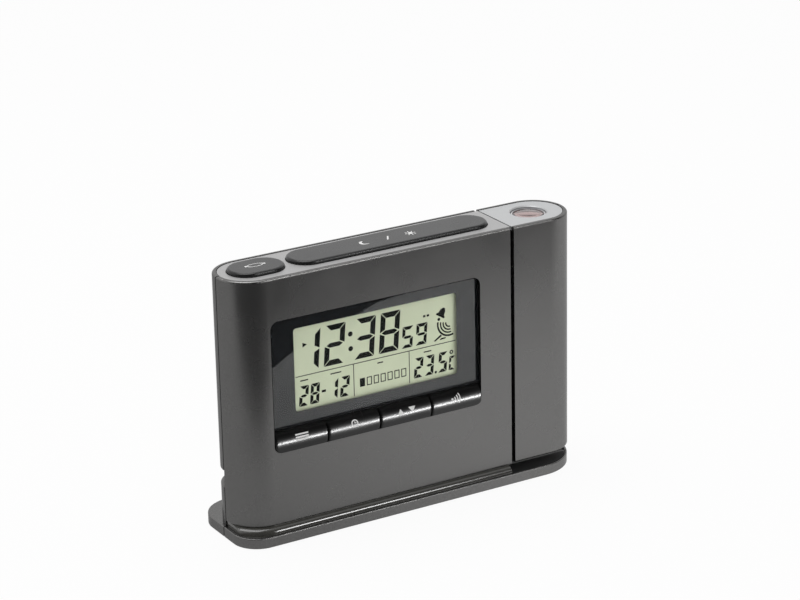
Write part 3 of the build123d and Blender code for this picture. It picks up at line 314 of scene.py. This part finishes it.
GUNMETAL = (1.0, 0.99, 0.975)
SILVER = (1.0, 0.995, 0.995)
LIGHT_SILVER = (0.985, 1.0, 1.01)
looks = {
    "shell": flake_paint("gunmetal_paint", 0.158, GUNMETAL, roughness=0.28, metallic=0.95, contrast=0.22),
    "plate": flake_paint("silver_paint", 0.44, SILVER, roughness=0.45, metallic=0.35, contrast=0.06),
    "tower_plate": flake_paint("light_silver_paint", 0.55, LIGHT_SILVER, roughness=0.45, metallic=0.35,
                               contrast=0.06),
    "black": plastic("black_satin", (0.013, 0.013, 0.0135), 0.42, texture=0.000006),
    "key": plastic("key_black", (0.004, 0.004, 0.0039), 0.26, specular=0.36, variation=0.03),
    "bead": plastic("bead_black", (0.052, 0.051, 0.045), 0.16, coat=0.5),
    "button": plastic("button_black", (0.010, 0.010, 0.0105), 0.27, texture=0.0000012, scale=2600,
                      specular=0.37),
    "mask": plastic("mask_black", (0.0055, 0.0065, 0.008), 0.02, specular=0.86),
    # the window's bevels carry painted shade for the shadowed gap around the window
    "window": clear("window_clear", (0.97, 0.975, 0.97), ior=1.12, painted_edge_shade=True),
    "ring": plastic("ring_silver", (0.58, 0.58, 0.59), 0.3, variation=0.04, metallic=0.4),
    # the lenses' red tint is painted light: it stands in for the red lamp's glow shining up through them
    "lens": clear("lens_glass", (0.45, 0.33, 0.32), ior=1.52),
    "guide": clear("light_guide", (0.9, 0.95, 0.9), roughness=0.2),
    "display": plastic("display_green", (0.68, 0.735, 0.54), 0.5, variation=0.02, specular=0.15),
    "board": circuit_board("circuit_board"),
    "rubber": plastic("foot_rubber", (0.018, 0.018, 0.018), 0.8, texture=0.00002),
    "silicone": plastic("silicone_grey", (0.3, 0.3, 0.31), 0.55),
    "steel": metal("plated_steel", (0.62, 0.62, 0.63), 0.3),
    "brass": metal("contact_brass", (0.78, 0.58, 0.28), 0.25),
    "copper": metal("coil_copper", (0.62, 0.27, 0.12), 0.35, stretch=(12, 1, 1)),
    "ferrite": plastic("ferrite_rod", (0.03, 0.03, 0.032), 0.55, texture=0.00001),
    "nylon": plastic("nylon_natural", (0.62, 0.61, 0.56), 0.45),
    "sleeve": plastic("cell_sleeve", (0.05, 0.09, 0.22), 0.2, coat=0.3),
    "lamp": clear("lamp_red", (0.95, 0.08, 0.06), roughness=0.05),
    "sheath": plastic("cable_sheath", (0.03, 0.03, 0.03), 0.6),
    "ink": print_paint("white_ink", (0.9, 0.9, 0.89), roughness=0.45, specular=0.3),
    "segment": print_paint("display_figures", (0.008, 0.009, 0.008), roughness=0.6, specular=0.05),
}
KEYS = ["mode_key", "set_key", "adjust_key", "receive_key"]
node_looks = {
    "shell": ["front_shell", "rear_shell", "tower_front_shell", "tower_rear_shell", "battery_cover"],
    "plate": ["top_plate"],
    "tower_plate": ["tower_top_plate"],
    "black": ["body_end_plate", "tower_end_plate", "base_tray", "buzzer", "dc_jack", "projection_switch",
              "focus_wheel", "barrel_guide", "lamp_tube", "board_chip", "pivot_bush"],
    "ring": ["lens_barrel"],
    "key": KEYS,
    "bead": ["base_bead"],
    "button": ["flip_button", "snooze_button"],
    "mask": ["window_mask"],
    "window": ["display_window"],
    "lens": ["projection_lens", "field_lens", "condenser_lens"],
    "guide": ["light_guide"],
    "display": ["display_glass", "projector_display"],
    "board": ["main_board", "top_board", "lamp_board"],
    "rubber": ["rubber_feet"],
    "silicone": ["key_pad", "contact_strip"],
    "steel": ["board_screws", "case_screws", "tower_screws", "battery_contacts", "switch_body",
              "button_switches", "quartz_crystal", "friction_washer", "shaft_clip"],
    "brass": ["dc_jack_pin"],
    "copper": ["aerial_coil"],
    "ferrite": ["ferrite_rod"],
    "nylon": ["pivot_shaft"],
    "sleeve": ["cells"],
    "lamp": ["projector_lamp"],
    "sheath": ["case_cable", "tower_cable"],
}


def dress_nodes():
    for look, names in node_looks.items():
        for name in names:
            for slot in nodes[name].material_slots:
                slot.material = looks[look]


# ---- flat figures and marks ----
INK = 0.05 * MM                # thickness of a print
PROUD = 0.02 * MM              # space between a print and the surface under it
SAME_POINT = 1e-7
SIDES_MEET = 1e-6              # side lines closer than this, in millimetres, make a point


class Marks:
    """Thin printed plates, drawn in a plane or on a key's crown, in millimetres."""

    def __init__(self, surface):
        self.surface = surface
        self.shape = bmesh.new()

    def face(self, corners):
        points = [self.shape.verts.new(self.surface(u, v)) for u, v in corners]
        self.shape.faces.new(points)

    def bar(self, left, right, low, high, steps=1):
        """Upright rectangle, cut into rows so that it can follow a curved surface."""
        self.rows(lambda v: left, lambda v: right, low, high, steps)

    def rows(self, left, right, low, high, steps):
        """Area between two side lines that are functions of the height; they may meet at an end."""
        levels = [low + (high - low) * i / steps for i in range(steps + 1)]
        for lower, upper in zip(levels, levels[1:]):
            corners = [(left(lower), lower), (right(lower), lower),
                       (right(upper), upper), (left(upper), upper)]
            if abs(right(upper) - left(upper)) < SIDES_MEET:
                del corners[2]
            elif abs(right(lower) - left(lower)) < SIDES_MEET:
                del corners[1]
            self.face(corners)

    def ring(self, middle, inner, outer, start=0, end=360, steps=24, flatten=1.0):
        """Ring or arc, in degrees from the right-hand side."""
        u, v = middle
        turns = [math.radians(start + (end - start) * i / steps) for i in range(steps + 1)]
        if end - start == 360:
            turns[-1] = turns[0]
        for a, b in zip(turns, turns[1:]):
            corners = [(inner, a), (outer, a), (outer, b), (inner, b)]
            self.face([(u + r * math.cos(t), v + flatten * r * math.sin(t)) for r, t in corners])

    def disc(self, middle, radius, steps=20):
        u, v = middle
        turns = [2 * math.pi * i / steps for i in range(steps)]
        self.face([(u + radius * math.cos(t), v + radius * math.sin(t)) for t in turns])

    def finish(self, name, look, body):
        """Closes the plates to the ink's thickness and makes them ride on a body."""
        bmesh.ops.remove_doubles(self.shape, verts=self.shape.verts, dist=SAME_POINT)
        self.shape.normal_update()
        bmesh.ops.solidify(self.shape, geom=self.shape.faces[:], thickness=INK)
        bmesh.ops.recalc_face_normals(self.shape, faces=self.shape.faces)
        mesh = bpy.data.meshes.new(name)
        self.shape.to_mesh(mesh)
        self.shape.free()
        mesh.materials.append(looks[look])
        piece = add_object(name, mesh)
        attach(piece, body)


# ---- display: places in millimetres from the lower left corner of its clear view ----
VIEW_INSET = (3.65, 2.85)      # that corner, from the lower left corner of the display's glass
LEAN = 0.086
SEGMENTS = {"1": "bc", "2": "abged", "3": "abgcd", "5": "afgcd", "8": "abcdefg", "9": "abcdfg", "C": "afed"}
TIME = [("1", 1.9), ("2", 12.0), ("3", 24.35), ("8", 34.4)]      # figures with their left edges
TIME_FORM = dict(low=14.15, width=8.0, height=15.1, bar=2.05, gap=0.35)
COLON_LEFT = 23.05
COLON_LEVELS = (18.7, 24.25)
COLON_RADIUS = 0.95
SECONDS = [("5", 43.8), ("9", 49.6)]
SECONDS_FORM = dict(low=14.1, width=4.5, height=8.1, bar=1.25, gap=0.25)
DATE = [("2", 1.6), ("8", 6.05), ("1", 13.5), ("2", 18.2)]
DATE_FORM = dict(low=1.3, width=3.6, height=7.6, bar=1.25, gap=0.25)
DATE_STROKE = (10.9, 12.6, 4.75, 5.65)
DEGREES = [("2", 48.65), ("3", 53.2), ("5", 58.8)]
DEGREES_FORM = dict(DATE_FORM, low=1.7)
POINT = (57.9, 2.2)
POINT_RADIUS = 0.5
UNIT = [("C", 63.3)]
UNIT_FORM = dict(low=1.7, width=2.5, height=5.3, bar=0.9, gap=0.2)
DEGREE_SIGN = (64.6, 8.6)
DEGREE_SIGN_RADII = (0.35, 0.8)
LINE_WIDTH = 0.3               # lines between the fields
LINE_LEVEL = 12.7
LINE_START = 0.6
LINE_END = 66.4
UPRIGHT_LINES = (24.0, 46.9)
UPRIGHT_LOW = 0.4
UPRIGHT_HIGH = 12.5
CAPTIONS = ((2.4, 3.2), (14.6, 4.4), (33.7, 2.4), (53.0, 3.2))   # dashes for them: left end and width
CAPTION_LOW = 10.7
CAPTION_HIGH = 11.15
BOX_COUNT = 7                  # boxes for the weekdays, the first one filled
BOX_START = 26.4
BOX_STEP = 2.85
BOX_WIDTH = 2.1
BOX_LOW = 3.4
BOX_HIGH = 6.6
BOX_LINE = 0.35
BOX_SLIT = 0.01                # keeps a box's upright lines off its level ones
BELL = [(-2.0, 0.0), (2.0, 0.0), (2.0, 0.6), (1.35, 1.1), (1.15, 2.5), (0.45, 3.5), (-0.45, 3.5),
        (-1.15, 2.5), (-1.35, 1.1), (-2.0, 0.6)]
BELL_PLACE = (60.0, 23.1)
BELL_TURN = math.radians(-32)
CLAPPER = (59.55, 22.15)
CLAPPER_RADIUS = 0.6
DISH_FOCUS = (63.9, 20.1)
DISH_RADII = (4.5, 5.2)
DISH_ARC = dict(start=168, end=290, steps=16)
WAVE_RADII = (1.2, 2.3, 3.4)
WAVE_WIDTH = 0.55
WAVE_ARC = dict(start=168, end=282, steps=12)
DISH_STAND = [[(57.2, 14.2), (58.0, 14.0), (60.8, 15.6), (60.2, 16.2)],
              [(59.6, 14.1), (62.2, 14.3), (62.4, 14.8), (60.4, 14.8)]]
DOTS = (53.0, 54.5)
DOT_WIDTH = 1.0
DOT_LOW = 24.2
DOT_HIGH = 25.0
HALF_DAY_MARK = [(3.8, 23.2), (5.6, 24.1), (3.8, 25.0)]


def draw_figures(marks, figures, low, width, height, bar, gap):
    """Seven-segment figures with mitred bars, leaning a little to the right."""
    half = height / 2
    b, g = bar, gap / 2
    w, h = width, height
    forms = {
        "a": [(g, h), (b + g, h - b), (w - b - g, h - b), (w - g, h)],
        "d": [(g, 0), (w - g, 0), (w - b - g, b), (b + g, b)],
        "f": [(0, half + g), (b, half + b / 2 + g), (b, h - b - g), (0, h - g)],
        "e": [(0, g), (b, b + g), (b, half - b / 2 - g), (0, half - g)],
        "b": [(w, half + g), (w, h - g), (w - b, h - b - g), (w - b, half + b / 2 + g)],
        "c": [(w, g), (w, half - g), (w - b, half - b / 2 - g), (w - b, b + g)],
        "g": [(g + b / 4, half), (b, half - b / 2 + g), (w - b, half - b / 2 + g), (w - g - b / 4, half),
              (w - b, half + b / 2 - g), (b, half + b / 2 - g)],
    }
    for character, left in figures:
        for segment in SEGMENTS[character]:
            marks.face([(left + x + LEAN * z, low + z) for x, z in forms[segment]])


def draw_time(marks):
    draw_figures(marks, TIME, **TIME_FORM)
    for level in COLON_LEVELS:
        marks.disc((COLON_LEFT, level), COLON_RADIUS)
    draw_figures(marks, SECONDS, **SECONDS_FORM)


def draw_fields(marks):
    """Date, weekday boxes and temperature under the time, with their dividing lines and dashes."""
    half = LINE_WIDTH / 2
    marks.bar(LINE_START, LINE_END, LINE_LEVEL - half, LINE_LEVEL + half)
    for u in UPRIGHT_LINES:
        marks.bar(u - half, u + half, UPRIGHT_LOW, UPRIGHT_HIGH)
    draw_figures(marks, DATE, **DATE_FORM)
    marks.bar(*DATE_STROKE)
    draw_figures(marks, DEGREES, **DEGREES_FORM)
    marks.disc(POINT, POINT_RADIUS)
    draw_figures(marks, UNIT, **UNIT_FORM)
    marks.ring(DEGREE_SIGN, *DEGREE_SIGN_RADII, steps=16)
    marks.bar(BOX_START, BOX_START + BOX_WIDTH, BOX_LOW, BOX_HIGH)
    for index in range(1, BOX_COUNT):
        draw_box(marks, BOX_START + BOX_STEP * index)
    for left, width in CAPTIONS:
        marks.bar(left, left + width, CAPTION_LOW, CAPTION_HIGH)


def draw_box(marks, left):
    right = left + BOX_WIDTH
    low, high = BOX_LOW + BOX_LINE + BOX_SLIT, BOX_HIGH - BOX_LINE - BOX_SLIT
    marks.bar(left, right, BOX_LOW, BOX_LOW + BOX_LINE)
    marks.bar(left, right, BOX_HIGH - BOX_LINE, BOX_HIGH)
    marks.bar(left, left + BOX_LINE, low, high)
    marks.bar(right - BOX_LINE, right, low, high)


def draw_icons(marks):
    """Bell, dish with its waves, two dots, and a triangle for the half of the day."""
    u, v = BELL_PLACE
    cos, sin = math.cos(BELL_TURN), math.sin(BELL_TURN)
    marks.face([(u + x * cos - z * sin, v + x * sin + z * cos) for x, z in BELL])
    marks.disc(CLAPPER, CLAPPER_RADIUS, steps=12)
    for radius in WAVE_RADII:
        marks.ring(DISH_FOCUS, radius, radius + WAVE_WIDTH, **WAVE_ARC)
    marks.ring(DISH_FOCUS, *DISH_RADII, **DISH_ARC)
    for corners in DISH_STAND:
        marks.face(corners)
    for left in DOTS:
        marks.bar(left, left + DOT_WIDTH, DOT_LOW, DOT_HIGH)
    marks.face(HALF_DAY_MARK)


def make_display():
    glass_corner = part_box("display_glass")[0]
    corner = glass_corner + Vector((VIEW_INSET[0] * MM, -PROUD, VIEW_INSET[1] * MM))

    def surface(u, v):
        return corner + Vector((u, 0, v)) * MM

    marks = Marks(surface)
    draw_time(marks)
    draw_fields(marks)
    draw_icons(marks)
    marks.finish("display_figures", "segment", "case")


# ---- marks on the keys ----
KEY_CURVE = 6.0                # radius of the crown
KEY_APEX = 5.15                # foremost line of the crown, below the key's upper edge
KEY_MARK_TURN = math.radians(19.0)      # up round the crown from there to a mark's middle
BARS_HALF_LENGTH = 2.6
BARS_HALF_HEIGHT = 0.27
BARS_STEP = 0.95
CLOCK_RIM = (0.95, 1.4)
CLOCK_UPRIGHT_HAND = (-0.17, 0.17, 0.0, 0.75)
CLOCK_LEVEL_HAND = (0.18, 0.65, 0.0, 0.32)
TRIANGLE_PLACE = 2.4           # to the left and to the right of the key's middle
TRIANGLE_HALF_HEIGHT = 1.1
TRIANGLE_SLOPE = 0.64          # half width for each millimetre from the tip
WAVES_SOURCE = (-2.0, 0)
WAVES_RADII = (1.0, 2.0, 3.0)
WAVES_WIDTH = 0.42
WAVES_ARC = dict(start=-34, end=34, steps=10)


def key_surface(node):
    """Places a mark on a key's crown: u along the key, v up round the crown, from the mark's middle."""
    low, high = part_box(node)
    middle = Vector(((low.x + high.x) / 2, low.y + KEY_CURVE * MM, high.z - KEY_APEX * MM))

    def surface(u, v):
        turn = KEY_MARK_TURN + v / KEY_CURVE
        reach = KEY_CURVE * MM + PROUD
        return middle + Vector((u * MM, -reach * math.cos(turn), reach * math.sin(turn)))

    return surface


def draw_bars(marks):
    for v in (-BARS_STEP, 0.0, BARS_STEP):
        marks.bar(-BARS_HALF_LENGTH, BARS_HALF_LENGTH, v - BARS_HALF_HEIGHT, v + BARS_HALF_HEIGHT)


def draw_clock(marks):
    """A rim, and hands at three o'clock."""
    marks.ring((0, 0), *CLOCK_RIM, steps=28)
    marks.bar(*CLOCK_UPRIGHT_HAND, steps=2)
    marks.bar(*CLOCK_LEVEL_HAND)


def draw_triangles(marks):
    """One pointing up on the left, one pointing down on the right."""
    place, half, slope = TRIANGLE_PLACE, TRIANGLE_HALF_HEIGHT, TRIANGLE_SLOPE
    marks.rows(lambda v: -place - (half - v) * slope,
               lambda v: -place + (half - v) * slope, -half, half, steps=5)
    marks.rows(lambda v: place - (v + half) * slope,
               lambda v: place + (v + half) * slope, -half, half, steps=5)


def draw_waves(marks):
    marks.disc(WAVES_SOURCE, WAVES_WIDTH, steps=14)
    for radius in WAVES_RADII:
        marks.ring(WAVES_SOURCE, radius, radius + WAVES_WIDTH, **WAVES_ARC)


def make_key_marks():
    bodies = frame["record"]["behaviour"]["bodies"]
    for node, draw in zip(KEYS, (draw_bars, draw_clock, draw_triangles, draw_waves)):
        body = next(name for name, members in bodies.items() if node in members)
        marks = Marks(key_surface(node))
        draw(marks)
        marks.finish(node + "_mark", "ink", body)


# ---- marks on the top buttons ----
ARROWS_MIDDLE = (0, 0.3)
ARROWS_RADII = (2.8, 3.45)
ARROWS_START = 25
ARROWS_END = 150
ARROWS_FLATTEN = 0.42
HEAD_PLACE = (3.1, 0.1)        # of an arrow head, from the arrows' middle
HEAD_HALF_WIDTH = 0.9
HEAD_REAR = 0.2
HEAD_TIP = (0.5, 1.1)
MOON = (-10.0, -0.4)
MOON_RADIUS = 1.85
MOON_HOLLOW = 1.45             # radius of the hollow side, whose middle lies further to the right
MOON_SHIFT = 0.65
MOON_START = 100
MOON_SPAN = 200
MOON_STEPS = 18
STROKE = [(-1.6, -2.1), (-0.95, -2.1), (0.95, 1.3), (0.3, 1.3)]
SUN = (9.0, -0.4)
SUN_RADIUS = 0.95
SUN_RAYS = 8
RAY_START = 1.3
RAY_END = 2.1
RAY_HALF_WIDTH = 0.2


def top_surface(node):
    """Places a mark on a top button: u to the right, v towards the back, from the button's middle."""
    low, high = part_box(node)
    middle = Vector(((low.x + high.x) / 2, (low.y + high.y) / 2, high.z + PROUD))

    def surface(u, v):
        return middle + Vector((u, v, 0)) * MM

    return surface


def draw_turn_arrows(marks):
    """Two arcs that chase each other, each with an arrow head at its right or left end."""
    for turn, side in ((0, 1), (180, -1)):
        marks.ring(ARROWS_MIDDLE, *ARROWS_RADII, start=turn + ARROWS_START, end=turn + ARROWS_END,
                   steps=16, flatten=ARROWS_FLATTEN)
        u, v = side * HEAD_PLACE[0], ARROWS_MIDDLE[1] + side * HEAD_PLACE[1]
        marks.face([(u - HEAD_HALF_WIDTH, v + side * HEAD_REAR), (u + HEAD_HALF_WIDTH, v + side * HEAD_REAR),
                    (u + side * HEAD_TIP[0], v - side * HEAD_TIP[1])])


def draw_moon(marks):
    u, v = MOON
    for step in range(MOON_STEPS):
        turns = [math.radians(MOON_START + MOON_SPAN * (step + i) / MOON_STEPS) for i in (0, 1)]
        inner = [(u + MOON_SHIFT + MOON_HOLLOW * math.cos(t), v + MOON_HOLLOW * math.sin(t)) for t in turns]
        outer = [(u + MOON_RADIUS * math.cos(t), v + MOON_RADIUS * math.sin(t)) for t in turns]
        marks.face([inner[0], outer[0], outer[1], inner[1]])


def draw_sun(marks):
    marks.disc(SUN, SUN_RADIUS, steps=18)
    for index in range(SUN_RAYS):
        turn = 2 * math.pi * index / SUN_RAYS
        along = Vector((math.cos(turn), math.sin(turn)))
        across = Vector((-along.y, along.x)) * RAY_HALF_WIDTH
        start, end = Vector(SUN) + along * RAY_START, Vector(SUN) + along * RAY_END
        marks.face([start + across, start - across, end - across, end + across])


def make_button_marks():
    flip = Marks(top_surface("flip_button"))
    draw_turn_arrows(flip)
    flip.finish("flip_mark", "ink", "flip")

    snooze = Marks(top_surface("snooze_button"))
    draw_moon(snooze)
    snooze.face(STROKE)
    draw_sun(snooze)
    snooze.finish("snooze_mark", "ink", "snooze")


# ---- studio ----
FLOOR_SIZE = 6.0               # from the middle to each side; places in the studio are in metres
FLOOR_COLOUR = (0.86, 0.86, 0.86, 1)
FLOOR_WHITE = 0.94             # share of plain white to the camera; the rest takes the clock's soft shadow
FLOOR_FADE = (-0.05, 0.05)     # across the floor, where its reflection brightens from dim to full
FLOOR_DIM = 0.62
FLAG_HEIGHT = 0.001
FLAG_COLOUR = (0.11, 0.11, 0.111, 1)
FLAG_EDGE = [(-0.60, -0.02), (-0.10, -0.118), (0.016, -0.155), (0.033, -0.168), (0.095, -0.202),
             (0.150, -0.212), (0.400, -0.220), (2.0, -0.22)]
FLAG_FRONT = [(2.0, -3.0), (-0.6, -3.0)]
WORLD_LEAN = 0.55              # how much height counts against depth in the reflected surroundings
WORLD_DARK = (0.03, 0.03, 0.031)
WORLD_WHITE_FROM = 0.35
WORLD_EVEN = 0.45
STUDIO_MIDDLE = (0.0, 0.0, 0.05)


def add_sheet(name, corners, height, material):
    """Flat level sheet that isn't part of the object."""
    mesh = bpy.data.meshes.new(name)
    mesh.from_pydata([(x, y, height) for x, y in corners], [], [list(range(len(corners)))])
    mesh.materials.append(material)
    sheet = add_object(name, mesh)
    return sheet


def make_floor():
    """Pale floor: white to the camera, and in reflections white on the right and dimmer on the left."""
    material = bpy.data.materials.new("floor_white")
    tree = Tree(material)
    rays = tree.add("ShaderNodeLightPath")
    place = tree.split((tree.add("ShaderNodeNewGeometry"), "Position"))
    fade = tree.add("ShaderNodeMapRange", {"From Min": FLOOR_FADE[0], "From Max": FLOOR_FADE[1],
                                           "To Min": FLOOR_DIM})
    tree.link((place, "X"), fade, "Value")
    glow = tree.add("ShaderNodeEmission")
    tree.link(tree.compute("MAXIMUM", (fade, "Result"), (rays, "Is Camera Ray")), glow, "Strength")
    matt = tree.add("ShaderNodeBsdfDiffuse", {"Color": FLOOR_COLOUR})
    seen = tree.compute("MAXIMUM", (rays, "Is Camera Ray"), (rays, "Is Glossy Ray"))
    seen = tree.compute("MAXIMUM", seen, (rays, "Is Transmission Ray"))
    share = tree.compute("MULTIPLY", seen, FLOOR_WHITE)
    output = tree.add("ShaderNodeOutputMaterial")
    tree.link(tree.mix(share, (matt, 0), (glow, 0)), output, 0)
    material.cycles.emission_sampling = "NONE"
    corners = [(x * FLOOR_SIZE, y * FLOOR_SIZE) for x, y in ((-1, -1), (1, -1), (1, 1), (-1, 1))]
    add_sheet("floor", corners, 0.0, material)


def make_front_flag():
    """Dark cloth on the floor in front of the clock, seen only in reflections and through clear pieces."""
    material = bpy.data.materials.new("flag_dark")
    tree = Tree(material)
    shader = tree.add("ShaderNodeBsdfPrincipled", {"Base Color": FLAG_COLOUR, "Roughness": 1.0,
                                                   "Specular IOR Level": 0.0})
    tree.link((shader, 0), tree.add("ShaderNodeOutputMaterial"), 0)
    flag = add_sheet("front_flag", FLAG_EDGE + FLAG_FRONT, FLAG_HEIGHT, material)
    flag.visible_camera = False
    flag.visible_diffuse = False
    flag.visible_shadow = False


def make_world():
    """White to the camera and through clear pieces; in reflections white behind and overhead and dark on
    the camera's side; an even dim light for matt surfaces."""
    world = bpy.data.worlds.new("studio")
    bpy.context.scene.world = world
    tree = Tree(world)
    direction = tree.split((tree.add("ShaderNodeTexCoord"), "Generated"))
    lean = tree.compute("MULTIPLY_ADD", (direction, "Z"), WORLD_LEAN, (direction, "Y"))
    surroundings = tree.ramp(lean, [(0.0, WORLD_DARK), (WORLD_WHITE_FROM, WHITE[:3])])
    gloss = tree.add("ShaderNodeBackground", {"Strength": 1.0})
    tree.link(surroundings, gloss, "Color")
    even = tree.add("ShaderNodeBackground", {"Color": WHITE, "Strength": WORLD_EVEN})
    white = tree.add("ShaderNodeBackground", {"Color": WHITE, "Strength": 1.0})
    rays = tree.add("ShaderNodeLightPath")
    seen = tree.compute("MAXIMUM", (rays, "Is Camera Ray"), (rays, "Is Transmission Ray"))
    light = tree.mix((rays, "Is Glossy Ray"), (even, 0), (gloss, 0))
    tree.link(tree.mix(seen, light, (white, 0)), tree.add("ShaderNodeOutputWorld"), 0)


def make_light(name, size, place, aim, power):
    data = bpy.data.lights.new(name, "AREA")
    data.shape = "RECTANGLE"
    data.size, data.size_y = size
    data.energy = power
    light = add_object(name, data)
    light.location = place
    light.rotation_euler = (Vector(aim) - Vector(place)).to_track_quat("-Z", "Y").to_euler()
    light.visible_camera = False
    return light


def only_gleam(light, names):
    """Keeps a lamp to the highlights on a few glossy pieces."""
    light.visible_diffuse = False
    receivers = bpy.data.collections.new(light.name + "_receivers")
    for name in names:
        receivers.objects.link(nodes[name])
    light.light_linking.receiver_collection = receivers


def make_lights():
    make_light("top_softbox", size=(1.0, 0.8), place=(-0.1, 0.15, 1.2), aim=STUDIO_MIDDLE, power=8.0)
    make_light("front_strip", size=(0.9, 0.14), place=(0.55, -1.05, 0.10), aim=(0.0, 0.0, 0.04), power=1.5)
    key_strip = make_light("key_strip", size=(0.4, 0.02), place=(0.12, -0.25, 0.012), aim=(0.0, 0.0, 0.037),
                           power=2.8)
    only_gleam(key_strip, KEYS)
    over_strip = make_light("over_strip", size=(0.26, 0.2), place=(0.44, -0.84, 0.66), aim=(0.0, 0.0, 0.01),
                            power=2.6)
    only_gleam(over_strip, ["base_bead", "front_shell", "tower_front_shell", "flip_button", "snooze_button"])


make_camera()
dress_nodes()
make_display()
make_key_marks()
make_button_marks()
make_floor()
make_front_flag()
make_world()
make_lights()
bpy.context.scene.view_settings.view_transform = "Standard"
